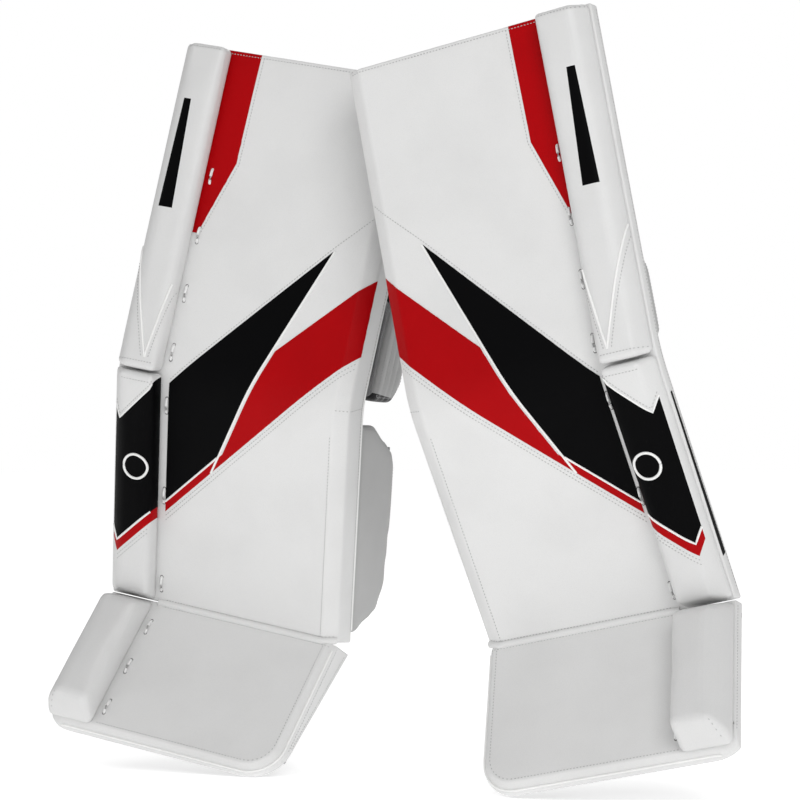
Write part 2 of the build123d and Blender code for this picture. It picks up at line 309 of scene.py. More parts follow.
def stitches(bm, surface, points, look="front"):
    """A row of stitches, each a short capsule half sunk into the surface."""
    sizes = bpy.context.scene.pad_sizes
    pitch = sizes.stitch_pitch * 1000
    thick = sizes.thread_thickness * 1000
    aim = getattr(surface, look)
    corners = [Vector((a, b, 0)) for a, b in points]
    for start, finish in zip(corners, corners[1:]):
        count = max(1, round((finish - start).length / pitch))
        for number in range(count):
            middle = start.lerp(finish, (number + 0.5) / count)
            spot, normal = aim(middle.x, middle.y)
            if spot is None:
                continue
            ahead = start.lerp(finish, (number + 0.9) / count)
            tip, _ = aim(ahead.x, ahead.y)
            if tip is None or (tip - spot).length < 0.01:
                continue
            along = (tip - spot).normalized()
            side = normal.cross(along).normalized()
            turn = Matrix((along, side, normal)).transposed().to_4x4()
            shape = Matrix.Diagonal((pitch * 0.34, thick * 0.55, thick * 0.45, 1))
            place = Matrix.Translation(spot + normal * thick * 0.12) @ turn @ shape
            bmesh.ops.create_icosphere(bm, subdivisions=1, radius=1, matrix=place)


def piping(bm, surface, points, width, look="front", lift=0.15):
    """A narrow raised cord laid along a seam."""
    aim = getattr(surface, look)
    path = []
    for point in spaced([(a, b, 0) for a, b in points], 6):
        spot, normal = aim(point.x, point.y)
        if spot is not None:
            path.append(spot + normal * lift)
    if len(path) > 1:
        tube(bm, path, width / 2)


class Seams:
    """The stitches and the piping laid on one piece."""

    def __init__(self, bm):
        self.surface = Surface(bm)
        self.threads = bmesh.new()
        self.rims = bmesh.new()

    def row(self, points, look="front"):
        stitches(self.threads, self.surface, points, look)

    def pipe(self, points, width, look="front"):
        piping(self.rims, self.surface, points, width, look)


def swell(bm, pressure, cap, hold=None):
    """Blow a closed piece up a little as cloth, in millimetres. No point moves further than the
    cap, and points for which hold(x, y, z) is true stay where they are."""
    scene = bpy.context.scene
    mesh = bpy.data.meshes.new("swelling")
    bmesh.ops.transform(bm, matrix=MILLIMETRE, verts=bm.verts)
    bm.to_mesh(mesh)
    cushion = bpy.data.objects.new("swelling", mesh)
    scene.collection.objects.link(cushion)
    cloth = cushion.modifiers.new("cloth", "CLOTH")
    cloth.settings.quality = 4
    cloth.settings.mass = 0.2
    cloth.settings.use_pressure = True
    cloth.settings.uniform_pressure_force = pressure
    cloth.settings.effector_weights.gravity = 0
    cloth.settings.tension_stiffness = 20
    cloth.settings.compression_stiffness = 20
    if hold:
        held = cushion.vertex_groups.new(name="held")
        fixed = [v.index for v in mesh.vertices if hold(*(v.co * 1000))]
        held.add(fixed, 1.0, "REPLACE")
        cloth.settings.vertex_group_mass = "held"
    for number in range(1, 21):
        scene.frame_set(number)
    posed = cushion.evaluated_get(bpy.context.evaluated_depsgraph_get())
    blown = [vert.co.copy() for vert in posed.data.vertices]
    bm.verts.ensure_lookup_table()
    for vert, place in zip(bm.verts, blown):
        move = place - vert.co
        if move.length > cap / 1000:
            move = move.normalized() * cap / 1000
        vert.co += move
    scene.frame_set(1)
    bpy.data.objects.remove(cushion)
    bpy.data.meshes.remove(mesh)
    bmesh.ops.transform(bm, matrix=Matrix.Scale(1000, 4), verts=bm.verts)


def settle(bm, times):
    """Even out small creases."""
    every_way = {"use_axis_x": True, "use_axis_y": True, "use_axis_z": True}
    for _ in range(times):
        bmesh.ops.smooth_vert(bm, verts=bm.verts, factor=0.5, **every_way)
    bm.normal_update()


def remeshed_node(side, node, section, voxel, shrink=0.0):
    """A copy of a soft CAD piece in its section's frame, remeshed evenly, in millimetres."""
    source = frame["nodes"][f"{side}_{node}"]
    bm = bmesh.new()
    bm.from_mesh(source.data)
    back = (pad_matrix(side) @ SECTION[section]).inverted()
    bmesh.ops.transform(bm, matrix=back, verts=bm.verts)
    outward(bm)
    bmesh.ops.transform(bm, matrix=MILLIMETRE, verts=bm.verts)
    mesh = bpy.data.meshes.new("remeshing")
    bm.to_mesh(mesh)
    bm.free()
    block = bpy.data.objects.new("remeshing", mesh)
    bpy.context.scene.collection.objects.link(block)
    even = block.modifiers.new("even", "REMESH")
    even.mode = "VOXEL"
    even.voxel_size = voxel / 1000
    posed = block.evaluated_get(bpy.context.evaluated_depsgraph_get())
    result = bmesh.new()
    result.from_mesh(posed.to_mesh())
    posed.to_mesh_clear()
    bpy.data.objects.remove(block)
    bpy.data.meshes.remove(mesh)
    bmesh.ops.transform(result, matrix=Matrix.Scale(1000, 4), verts=result.verts)
    if shrink:
        result.normal_update()
        for vert in result.verts:
            vert.co -= vert.normal * shrink
    settle(result, 3)
    return result


# ---------- settings ----------
def length(name, description, default, least, most):
    """A length setting, in metres."""
    return bpy.props.FloatProperty(
        name=name, description=description, default=default, min=least, max=most, unit="LENGTH"
    )


def tint(name, description, default):
    """A colour setting."""
    return bpy.props.FloatVectorProperty(
        name=name, description=description, default=default, subtype="COLOR", size=4, min=0, max=1
    )


class PadSizes(bpy.types.PropertyGroup):
    stitch_pitch: length("Stitch pitch", "From one stitch to the next", 0.0036, 0.002, 0.01)
    thread_thickness: length(
        "Thread thickness", "Thickness of the sewing thread", 0.001, 0.0003, 0.003
    )
    piping_width: length(
        "Piping width", "Width of the white cord between coloured panels", 0.0026, 0.001, 0.008
    )
    cord_thickness: length(
        "Lace thickness", "Thickness of the cord that laces the rolls on", 0.0031, 0.001, 0.005
    )
    panel_height: length(
        "Panel height", "How far a coloured panel stands off the cover", 0.0005, 0.0, 0.003
    )


class PadColours(bpy.types.PropertyGroup):
    cover: tint("Cover", "Main colour of the covers", (0.71, 0.71, 0.706, 1))
    # The wings and the landing's leather side use this colour darkened to 0.65 as painted shade.
    roll: tint("Rolls", "Main colour of the rolls and wings", (0.67, 0.67, 0.667, 1))
    stripe: tint("Red panels", "Colour of the stripes and bands", (0.385, 0.0, 0.002, 1))
    wedge: tint("Black panels", "Colour of the black panels", (0.0015, 0.0015, 0.0018, 1))
    backing: tint("Backing", "Colour of the black cloth and straps", (0.018, 0.018, 0.02, 1))
    # The stitching's grey is painted shade: the thread is white, and the grey stands in for the
    # shade of its holes.
    thread: tint("Thread", "Colour of the stitching", (0.34, 0.34, 0.34, 1))


# ---------- finishes ----------
class Finish:
    """A material being made: its nodes, and the shader that they feed."""

    def __init__(self, name, coordinates=None):
        made = bpy.data.materials.new(name)
        made.use_nodes = True
        self.tree = made.node_tree
        self.shader = self.tree.nodes["Principled BSDF"]
        if coordinates:
            self.where = self.add("TexCoord").outputs[coordinates]

    def join(self, socket, value):
        """Give a socket another node's output, or a value."""
        if isinstance(value, bpy.types.NodeSocket):
            self.tree.links.new(value, socket)
        else:
            socket.default_value = value

    def feed(self, node, **sockets):
        """Join sockets by their names, in which an underscore stands for a space."""
        for name, value in sockets.items():
            self.join(node.inputs[name.replace("_", " ")], value)

    def add(self, kind, settings=None, **sockets):
        node = self.tree.nodes.new("ShaderNode" + kind)
        for name, value in (settings or {}).items():
            setattr(node, name, value)
        self.feed(node, **sockets)
        return node

    def noise(self, scale, detail=2.0, roughness=0.5):
        sockets = {"Scale": scale, "Detail": detail, "Roughness": roughness}
        return self.add("TexNoise", Vector=self.where, **sockets).outputs["Fac"]

    def ribs(self, direction, where, **sockets):
        settings = {"bands_direction": direction}
        return self.add("TexWave", settings, Vector=where, **sockets).outputs["Fac"]

    def remap(self, value, **ends):
        return self.add("MapRange", Value=value, **ends).outputs["Result"]

    def combine(self, operation, *values):
        node = self.add("Math", {"operation": operation})
        for socket, value in zip(node.inputs, values):
            self.join(socket, value)
        return node.outputs["Value"]

    def mix(self, factor, first, second, blend="MIX"):
        settings = {"data_type": "RGBA", "blend_type": blend}
        return self.add("Mix", settings, Factor=factor, A=first, B=second).outputs["Result"]

    def bump(self, height, strength, distance, **under):
        sockets = {"Height": height, "Strength": strength, "Distance": distance, **under}
        return self.add("Bump", **sockets).outputs["Normal"]


def shade(colour, by, lift=0.0):
    """A colour made darker or lighter."""
    return [min(1, value * by + lift) for value in colour[:3]] + [1]


def leather(name, colour, roughness, grain=0.25, specular=0.42, dirt=0.03):
    """Synthetic leather: fine pebble grain, soft creases, and a little grime and wear."""
    made = Finish(name, "Object")
    cells = made.add("TexVoronoi", {"feature": "DISTANCE_TO_EDGE"}, Vector=made.where, Scale=850)
    edge = made.remap(cells.outputs["Distance"], From_Max=0.18)
    creases = made.noise(38, 5, 0.55)
    pebbles = made.combine("MULTIPLY_ADD", made.noise(1600, 3), 0.5, edge)
    grime = made.remap(made.noise(11, 6), From_Min=0.45, From_Max=0.78)
    tone = made.mix(grime, colour, shade(colour, 1 - dirt * 2.2))
    hollow = made.remap(edge, From_Min=1.0, From_Max=0.0, To_Max=0.22)
    made.feed(
        made.shader,
        Base_Color=made.mix(hollow, tone, shade(colour, 0.78)),
        Roughness=made.remap(creases, To_Min=roughness - 0.07, To_Max=roughness + 0.09),
        Specular_IOR_Level=specular,
        Normal=made.bump(creases, 0.12, 0.0025, Normal=made.bump(pebbles, grain, 0.0002)),
    )


def cloth_finish(name, colour, weave, roughness=0.85, strength=0.5, sheen=0.25, contrast=0.55):
    """Woven cloth: two crossed sets of ribs, with fuzz and a little fading."""
    made = Finish(name, "Object")
    turned = made.add("Mapping", Vector=made.where, Rotation=(0.5, 0.35, 0.4)).outputs["Vector"]
    ribs = [made.ribs(way, turned, Scale=weave, Distortion=0.6, Detail=1) for way in ("X", "Z")]
    crossed = made.combine("MULTIPLY", *ribs)
    height = made.combine("ADD", crossed, made.noise(420, 4))
    tone = made.mix(made.noise(14, 5), colour, shade(colour, 1.8, 0.004))
    made.feed(
        made.shader,
        Base_Color=made.mix(contrast, tone, crossed, "MULTIPLY"),
        Roughness=roughness,
        Sheen_Weight=sheen,
        Sheen_Roughness=0.5,
        Normal=made.bump(height, strength, 0.0004),
    )


def moulded_finish(name, colour, roughness=0.45):
    """Moulded plastic: a fine matt texture, with random patches rubbed a little lighter."""
    made = Finish(name, "Object")
    rub = made.noise(90, 6)
    spread = made.remap(rub, From_Min=0.5, From_Max=0.8)
    made.feed(
        made.shader,
        Base_Color=made.mix(spread, colour, shade(colour, 2.2, 0.01)),
        Roughness=made.remap(rub, To_Min=roughness - 0.1, To_Max=roughness + 0.12),
        Normal=made.bump(made.noise(2200), 0.25, 0.0001),
    )


def webbing_finish(name, colour):
    """Strap webbing: ribs across and a herringbone along, read from the strap's own UV map."""
    made = Finish(name, "UV")
    across = made.ribs("X", made.where, Scale=150, Distortion=0.4)
    along_strap = made.ribs("DIAGONAL", made.where, Scale=110)
    height = made.combine("MULTIPLY_ADD", across, along_strap, made.noise(500))
    made.feed(
        made.shader,
        Base_Color=made.mix(along_strap, shade(colour, 0.5), shade(colour, 1.6)),
        Roughness=0.72,
        Sheen_Weight=0.2,
        Normal=made.bump(height, 0.7, 0.0005),
    )


class PADS_OT_finishes(bpy.types.Operator):
    """Make the finishes that every piece shares"""

    bl_idname = "pads.finishes"
    bl_label = "Finishes"

    def execute(self, context):
        colours = context.scene.pad_colours
        backing = colours.backing[:]
        leather("cover_leather", colours.cover[:], 0.46)
        leather("roll_vinyl", colours.roll[:], 0.42, grain=0.16)
        # The wing finish is the roll colour darkened to 0.65: painted shade on the wings and on the
        # landing's leather side.
        leather("shaded_wing_vinyl", shade(colours.roll, 0.65), 0.5, grain=0.3)
        leather("red_leather", colours.stripe[:], 0.4, grain=0.2, specular=0.07, dirt=0.05)
        leather("black_leather", colours.wedge[:], 0.48, grain=0.2, specular=0.04)
        leather("piping_vinyl", (0.84, 0.84, 0.83, 1), 0.4, grain=0.05)
        cloth_finish("backing_cloth", backing, 260, sheen=0.08)
        cloth_finish("cushion_cloth", backing, 190, strength=0.7, sheen=0.4)
        thread = {"roughness": 0.7, "strength": 0.3, "sheen": 0.1}
        # The thread's grey colour is painted shade of the stitch holes.
        cloth_finish("thread", colours.thread[:], 900, contrast=0.12, **thread)
        cloth_finish("dark_thread", backing, 900, **thread)
        cord = {"roughness": 0.6, "strength": 0.6, "sheen": 0.1, "contrast": 0.12}
        cloth_finish("lace_cord", (0.86, 0.86, 0.85, 1), 520, **cord)
        webbing_finish("strap_webbing", backing)
        moulded_finish("black_plastic", (0.02, 0.02, 0.022, 1))
        moulded_finish("dark_eyelet", (0.012, 0.012, 0.012, 1), roughness=0.35)
        return {"FINISHED"}


# ---------- covers ----------
# The coloured panels, drawn on the face as (across, height) above the ankle fold.
RED_LOW = ((-78.0, 107.5), (123.0, 313.0))
WEDGE_TIP = (87.0, 436.0)
STEEP = 2.5
WEDGE_OUTER = (-75.0, 261.5)
BAND_CORNER = (44.5, 318.0)
BAND_EDGE = (121.0, 395.0)
STRIPE = ((-48.0, TOP + 1), (-50.0, 511.0), (-78.5, 430.0))
PANEL_FINISHES = ("red_leather", "black_leather")
STRIP_HEIGHT = 11.0
PIPE_GAP = 2.4
PANEL_EDGE = -75.0
UNDER_ROLL = -95.0
ANKLE_SEAM = 4.5
WALL_SEAM = 268.0


def line_height(line, x):
    (x0, z0), (x1, z1) = line
    return z0 + (z1 - z0) * (x - x0) / (x1 - x0)


def line_across(line, z):
    (x0, z0), (x1, z1) = line
    return x0 + (x1 - x0) * (z - z0) / (z1 - z0)


def raised(line, by):
    return tuple((x, z + by) for x, z in line)


STRIP_TOP = raised(RED_LOW, STRIP_HEIGHT)
WEDGE_LOW = raised(RED_LOW, STRIP_HEIGHT + PIPE_GAP)
WEDGE_TOP = (WEDGE_OUTER, WEDGE_TIP)
BAND_TOP = (BAND_CORNER, BAND_EDGE)


def steep_line(top, low):
    """A steep line down from a point to where it meets a low line."""
    across = top[0]
    for _ in range(30):
        across = top[0] - (top[1] - line_height(low, across)) / STEEP
    return (across, line_height(low, across)), top


WEDGE_SIDE = steep_line(WEDGE_TIP, WEDGE_LOW)
WEDGE_FOOT = WEDGE_SIDE[0]
BAND_SIDE = steep_line(BAND_CORNER, RED_LOW)


def face_colour(x, z):
    """Which finish a spot of the face has: 0 white, 1 red, 2 black."""
    if x < PANEL_EDGE and z < STRIPE[2][1] or x < UNDER_ROLL:
        return 0
    if z > line_height(STRIPE[1:], x) and z > STRIPE[2][1] and x < line_across(STRIPE[:2], z):
        return 1
    if z > SHIN * 1.9:
        return 0
    if z < line_height(RED_LOW, x):
        return 0
    if x < line_across(WEDGE_SIDE, z) and line_height(WEDGE_LOW, x) < z < line_height(WEDGE_TOP, x):
        return 2
    if x > line_across(BAND_SIDE, z):
        return 1 if z < line_height(BAND_TOP, x) else 0
    if z < line_height(STRIP_TOP, x):
        return 1
    return 0


def normal_to(line):
    (x0, z0), (x1, z1) = line
    return Vector((z1 - z0, 0, x0 - x1)).normalized()


FORWARD = -0.3           # faces whose normals have less depth than this look forward
FLAT_FORWARD = -0.7
NOT_BACK = 0.4


def looking(bm, depth=FORWARD):
    return [face for face in bm.faces if face.normal.y < depth]


def paint_face(bm, colour_at, lines, height):
    """Cut a cover's face along lines, give each part its finish, and raise the coloured parts."""
    for line in lines:
        score(bm, Vector((line[0][0], 0, line[0][1])), normal_to(line), looking(bm))
    bm.normal_update()
    for face in looking(bm):
        middle = face.calc_center_median()
        face.material_index = colour_at(middle.x, middle.z)
    for finish in (1, 2):
        panel = [face for face in looking(bm) if face.material_index == finish]
        if not panel:
            continue
        lifted = bmesh.ops.extrude_face_region(bm, geom=panel)
        verts = [item for item in lifted["geom"] if isinstance(item, bmesh.types.BMVert)]
        bmesh.ops.translate(bm, vec=(0, -height, 0), verts=verts)
        bmesh.ops.delete(bm, geom=panel, context="FACES")
    bm.normal_update()


COVER_PROFILE = [
    (-HALF, OUTER_WALL),
    (-HALF, 0),
    (HALF - BEVEL_WIDTH, 0),
    (HALF, BEVEL_DEPTH),
    (HALF, BACK),
    (-HALF + OUTER_SLOPE, BACK),
]


def blank_cover():
    """The long cover from ankle to top edge, drawn flat."""
    bm = prism(COVER_PROFILE, -30, TOP)
    trim(bm, Vector((0, 0, 0.3)), Vector((0, -math.sin(ANKLE_RELIEF), -math.cos(ANKLE_RELIEF))))
    outward(bm)
    round_edges(bm, 2.2, segments=3)
    return bm


def crown(bm, height, half_width, middle, low, high):
    """Lift the face a little in its middle, as stuffing does."""
    for vert in bm.verts:
        if vert.co.y < 1:
            across = 1 - min(abs(vert.co.x - middle) / half_width, 1) ** 2
            along = min((vert.co.z - low) / 40, (high - vert.co.z) / 40, 1)
            vert.co.y -= height * max(across, 0) * max(along, 0)


class PADS_OT_covers(bpy.types.Operator):
    """Long covers from ankle to top edge, with their red and black panels"""

    bl_idname = "pads.covers"
    bl_label = "Covers"

    def execute(self, context):
        sizes = context.scene.pad_sizes
        bm = blank_cover()
        grid(bm, 0, -HALF, HALF, GRID)
        grid(bm, 1, 0, BACK, GRID)
        grid(bm, 2, 0, TOP, GRID)
        crown(bm, 1.3, 100, 22, 0, TOP)
        lines = [RED_LOW, STRIP_TOP, WEDGE_LOW, WEDGE_TOP, WEDGE_SIDE, BAND_TOP, BAND_SIDE]
        lines += [STRIPE[:2], STRIPE[1:]]
        lines += [((x, 0), (x, STRIPE[2][1])) for x in (PANEL_EDGE, UNDER_ROLL)]
        paint_face(bm, face_colour, lines, sizes.panel_height * 1000)
        outward(bm)
        seams = Seams(bm)
        lay_cover_seams(seams, sizes.piping_width * 1000)
        add_pair(
            "face_cover",
            bm,
            "folded",
            "shin",
            ["cover_leather", *PANEL_FINISHES],
            "white_leather",
            replaces=("thigh_core", "thigh_cover", "shin_core", "shin_cover"),
            padded=0.95,
            blend=KNEE_BLEND,
        )
        for name, piece, finish, slot in (
            ("side_bar", side_bar(), "black_leather", "white_leather"),
            ("cover_stitching", seams.threads, "thread", "cord"),
            ("cover_piping", seams.rims, "piping_vinyl", "white_leather"),
        ):
            add_pair(name, piece, "folded", "shin", [finish], slot, blend=KNEE_BLEND)
        return {"FINISHED"}


def side_bar():
    """A plain tapered black bar along the outer side of the shin."""
    bm = bmesh.new()
    low, high = 48.0, 228.0
    corners = ((2.5, low), (11.5, low), (8.5, high), (4.5, high))
    bar = bm.faces.new([bm.verts.new((-HALF - 0.5, y, z)) for y, z in corners])
    back = bmesh.ops.extrude_face_region(bm, geom=[bar])
    inner = [item for item in back["geom"] if isinstance(item, bmesh.types.BMVert)]
    bmesh.ops.translate(bm, vec=(0.8, 0, 0), verts=inner)
    outward(bm)
    grid(bm, 2, low, high, GRID)
    return bm


def along(line, low_x, high_x, by=0.0):
    """Two points of a line, between two places across the pad, moved up by a height."""
    return [(x, line_height(line, x) + by) for x in (low_x, high_x)]


def lay_cover_seams(seams, width):
    """Piping between the panels, and the rows of stitches that hold them."""
    pipe_foot = steep_line((WEDGE_TIP[0] + 1.3, WEDGE_TIP[1]), RED_LOW)
    seams.pipe(pipe_foot, width)
    seams.pipe(along(WEDGE_LOW, PANEL_EDGE, WEDGE_FOOT[0], -1.2), width)
    # the seam over the wedge runs on to the inner edge
    seams.row(along(WEDGE_TOP, PANEL_EDGE, WEDGE_TIP[0], 4))
    seams.row([(WEDGE_TIP[0], WEDGE_TIP[1] + 4), (HALF - 3, WEDGE_TIP[1] + 4 + 50)])
    for drop in (-5, -10.5):
        seams.row(along(RED_LOW, PANEL_EDGE, HALF - 3, drop))
    edge = [(x + 3.4, z) for x, z in STRIPE]
    edge[0] = (edge[0][0], TOP - 3)
    seams.row(edge)
    seams.row([(HALF - BEVEL_WIDTH - 2.5, 3), (HALF - BEVEL_WIDTH - 2.5, 238)])
    seams.row([(LACE_LINE + 6, ANKLE_SEAM), (HALF - 3, ANKLE_SEAM)])
    seams.row([(-HALF + 4, TOP - 4), (HALF - 4, TOP - 4)])
    seams.row([(BACK - 4, 0), (BACK - 4, TOP - 4)], "inner")
    seams.row([(BEVEL_DEPTH, WALL_SEAM), (BACK - 5, WALL_SEAM)], "inner")
    seams.row([(HALF - BEVEL_WIDTH, WALL_SEAM), (HALF - 1, WALL_SEAM)])
    seams.row([(OUTER_WALL - 3, 4), (OUTER_WALL - 3, TOP - 4)], "outer")
    seams.pipe([(BACK - 1.2, 0), (BACK - 1.2, TOP - 2)], width, "inner")


# ---------- rolls ----------
CAP_EDGE = ((-81.0, 274.0), (-88.0, 257.5), (-141.0, 199.0))
BOOT_ROLL_HEIGHT = 40.0
BOOT_ROLL_END = -172.0
BOOT_ROLL_END_TILT = 19.0
ROLL_RIDGE = -124.0      # where a roll's front turns into its outer slope
RIDGE_CLIMB = 1.6        # panel lines climb past the ridge by this much
ROLL_PANEL_END = -133.0


def roll_profile(height):
    """A roll's cross-section: a steep inner wall, a flat front and a wide outer slope."""
    return [
        (-HALF, 0),
        (-HALF + 3, 16 - height),
        (ROLL_RIDGE, -height),
        (ROLL_BASE - 1.5, -height),
        (ROLL_BASE, 0),
    ]


def roll_block(low, high, ends, softness, height=ROLL_HEIGHT):
    """One outer roll: its blank, cut off at its ends, rounded and stuffed."""
    bm = prism(roll_profile(height), low, high)
    for point, normal in ends:
        trim(bm, Vector(point), Vector(normal))
    outward(bm)
    round_edges(bm, softness, segments=3, angle=20)
    corners = [vert.co.z for vert in bm.verts]
    grid(bm, 0, -HALF, ROLL_BASE, 6.5)
    grid(bm, 1, -height, 0, 6.5)
    grid(bm, 2, min(corners), max(corners), 6.5)
    swell(bm, 3.0, 1.6, hold=lambda x, y, z: y > -1.2)
    bm.normal_update()
    return bm


def tilt(degrees):
    """The outward normal of an end cut that rises towards the leg by an angle."""
    angle = math.radians(degrees)
    return (0, math.sin(angle), math.cos(angle))


def roll_line(line, x, by=0.0):
    """A panel line's height on the knee roll: it climbs again past the ridge."""
    return line_height(line, max(x, ROLL_RIDGE)) + RIDGE_CLIMB * max(ROLL_RIDGE - x, 0) + by


def cap_line(x):
    return roll_line(CAP_EDGE[:2] if x > CAP_EDGE[1][0] else CAP_EDGE[1:], x)


def knee_roll_colour(x, z):
    if x < ROLL_PANEL_END or z < roll_line(RED_LOW, x):
        return 0
    if z < roll_line(RED_LOW, x, 13):
        return 1
    return 2 if z < cap_line(x) else 0


def score_panels(bm):
    """Cut the knee roll along its panel lines, on both sides of its ridge."""
    for edge in (ROLL_RIDGE, ROLL_PANEL_END):
        score(bm, Vector((edge, 0, 0)), Vector((1, 0, 0)))
    for line, by in ((RED_LOW, 0), (RED_LOW, 13), (CAP_EDGE[:2], 0), (CAP_EDGE[1:], 0)):
        front = [face for face in looking(bm, NOT_BACK) if face.calc_center_median().x > ROLL_RIDGE]
        score(bm, Vector((line[0][0], 0, line[0][1] + by)), normal_to(line), front)
    for line, by in ((RED_LOW, 0), (RED_LOW, 13), (CAP_EDGE[1:], 0)):
        past = [face for face in looking(bm, NOT_BACK) if face.calc_center_median().x < ROLL_RIDGE]
        fold = Vector((ROLL_RIDGE, 0, line_height(line, ROLL_RIDGE) + by))
        score(bm, fold, Vector((RIDGE_CLIMB, 0, 1)).normalized(), past)


def ring_mark(seams, centre, radius, width):
    """A plain round ring, laid on a surface."""
    path = []
    for place in arc_points(centre, radius, 48):
        spot, normal = seams.surface.front(*place)
        path.append(spot + normal * 0.1)
    tube(seams.rims, path, width / 2)


class PADS_OT_rolls(bpy.types.Operator):
    """Padded outer rolls of the thigh, knee and boot, with their seams"""

    bl_idname = "pads.rolls"
    bl_label = "Outer rolls"

    def execute(self, context):
        width = context.scene.pad_sizes.piping_width * 1000
        self.thigh(width)
        self.knee(width)
        self.boot()
        return {"FINISHED"}

    def thigh(self, width):
        foot = -math.degrees(KNEE_BREAK) / 2 + 3
        bm = roll_block(-20, THIGH, [((0, 0, 1.2), [-part for part in tilt(foot)])], 5.5)
        outer = ((-139.0, 138.0), (-98.0, 12.0))
        inner = ((-86.0, 96.0), (-98.0, 12.0))
        slash = ((-122.0, 178.0), (-119.0, 300.0), (-110.0, 300.0), (-104.0, 178.0))
        for first, second in zip(slash, slash[1:] + slash[:1]):
            spot = Vector((first[0], 0, first[1]))
            score(bm, spot, normal_to((first, second)), looking(bm, FLAT_FORWARD))
        for face in looking(bm, FLAT_FORWARD):
            x, _, z = face.calc_center_median()
            if slash[0][1] < z < slash[1][1]:
                if line_across(slash[:2], z) < x < line_across((slash[3], slash[2]), z):
                    face.material_index = 2
        seams = Seams(bm)
        for height in (7, THIGH - 4):
            seams.row([(-HALF + 3, height), (ROLL_BASE - 5, height)])
        for line, shift in ((outer, 4.5), (inner, -4.0)):
            seams.pipe(line, width)
            seams.row([(x - shift, z) for x, z in line])
        self.add("thigh_padding", bm, "thigh", "thigh_roll", seams, PANEL_FINISHES)

    def knee(self, width):
        top = math.degrees(KNEE_BREAK) / 2 - 3
        foot = math.degrees(BOOT_BREAK) / 2 + 5
        ends = [((0, 0, SHIN - 1.2), tilt(top)), ((0, 0, 1.7), [-part for part in tilt(foot)])]
        bm = roll_block(-20, SHIN + 30, ends, 4.5)
        score_panels(bm)
        for face in bm.faces:
            middle = face.calc_center_median()
            face.material_index = knee_roll_colour(middle.x, middle.z)
        seams = Seams(bm)
        seams.row([(-HALF + 16, SHIN - 6), (ROLL_BASE - 5, SHIN - 6)])
        folds = (ROLL_PANEL_END, ROLL_RIDGE, ROLL_BASE - 2)
        seams.pipe([(x, roll_line(RED_LOW, x, 13.4)) for x in folds], width)
        folds = (ROLL_PANEL_END, ROLL_RIDGE, CAP_EDGE[1][0], CAP_EDGE[0][0] - 2)
        seams.pipe([(x, cap_line(x) + 0.6) for x in folds], width * 0.8)
        seams.row([(x, cap_line(x) + 5) for x in folds])
        for drop in (-5, -10):
            seams.row(along(RED_LOW, ROLL_RIDGE, ROLL_BASE - 3, drop))
        ring_mark(seams, (-102, 166), 14, 3.0)
        self.add("knee_padding", bm, "shin", "knee_roll", seams, PANEL_FINISHES)

    def boot(self):
        top = -math.degrees(BOOT_BREAK) / 2 - 5
        toe = [-part for part in tilt(BOOT_ROLL_END_TILT)]
        ends = [((0, 0, -1.7), tilt(top)), ((0, 0, BOOT_ROLL_END), toe)]
        bm = roll_block(BOOT_ROLL_END - 1, 20, ends, 7, BOOT_ROLL_HEIGHT)
        seams = Seams(bm)
        low = BOOT_ROLL_END + 16
        seams.row([(ROLL_RIDGE - 1, low), (ROLL_RIDGE - 8, low - 12)])
        self.add("boot_padding", bm, "boot", "boot_roll", seams)

    def add(self, name, bm, section, node, seams, panels=()):
        """Add a roll to both pads, with its stitches and any piping."""
        finishes = ["roll_vinyl", *panels]
        add_pair(name, bm, section, section, finishes, "roll_leather", (node,), padded=0.95)
        add_pair(f"{node}_stitching", seams.threads, section, section, ["thread"], "cord")
        if seams.rims.verts:
            rims = seams.rims
            add_pair(f"{node}_piping", rims, section, section, ["piping_vinyl"], "roll_leather")


# ---------- laces ----------
LACES = {"thigh": (24, 90, 156, 222), "shin": (23, 129, 235), "boot": (-34, -88, -143)}
LACE_LENGTH = 17.0
LACE_RISE = ((0, 0.8), (1.2, -1.2), (4, -1.9))     # (from its end, depth) along half a loop
LACE_TOP = -2.2
EYELET_RADIUS = 1.7
# the radius of the dark disc that is painted shade in each eyelet's hole
EYELET_HOLE = 1.5


class PADS_OT_laces(bpy.types.Operator):
    """White cord loops that lace each roll to the face, and their eyelets"""

    bl_idname = "pads.laces"
    bl_label = "Laces"

    def execute(self, context):
        thick = context.scene.pad_sizes.cord_thickness * 1000
        for section, heights in LACES.items():
            cords = bmesh.new()
            eyes = bmesh.new()
            for height in heights:
                low, high = height - LACE_LENGTH / 2, height + LACE_LENGTH / 2
                loop = [(LACE_LINE, depth, low + step) for step, depth in LACE_RISE]
                loop += [(LACE_LINE, LACE_TOP, height)]
                loop += [(LACE_LINE, depth, high - step) for step, depth in reversed(LACE_RISE)]
                tube(cords, loop, thick / 2, sides=10)
                for end in (low, high):
                    self.eyelet(eyes, Vector((LACE_LINE, -0.15, end)))
            laced = (f"{section}_laces",)
            add_pair(f"{section}_cord", cords, section, section, ["lace_cord"], "cord", laced)
            add_pair(f"{section}_eyelets", eyes, section, section, ["dark_eyelet"], "hardware")
        return {"FINISHED"}

    def eyelet(self, bm, centre):
        rim = arc_points((centre.x, centre.z), EYELET_RADIUS, 12)
        tube(bm, [(x, centre.y, z) for x, z in rim], 0.3, sides=6)
        # A dark disc fills the hole: painted shade where the cord goes in.
        place = Matrix.Translation(centre + Vector((0, 0.15, 0)))
        bmesh.ops.create_cone(
            bm,
            cap_ends=True,
            segments=16,
            radius1=EYELET_HOLE,
            radius2=EYELET_HOLE,
            depth=0.3,
            matrix=place @ Matrix.Rotation(math.pi / 2, 4, "X"),
        )


# ---------- boots ----------
TAPER = (BACK - TOE_DEPTH) / BOOT
TOE_CORNER = 40.0
RIM_WIDTH = 9.0
PLATEAU_CORNER = TOE_CORNER - RIM_WIDTH
RIM_PIPE = 2.2           # the rim's piping lies this far in from the edge


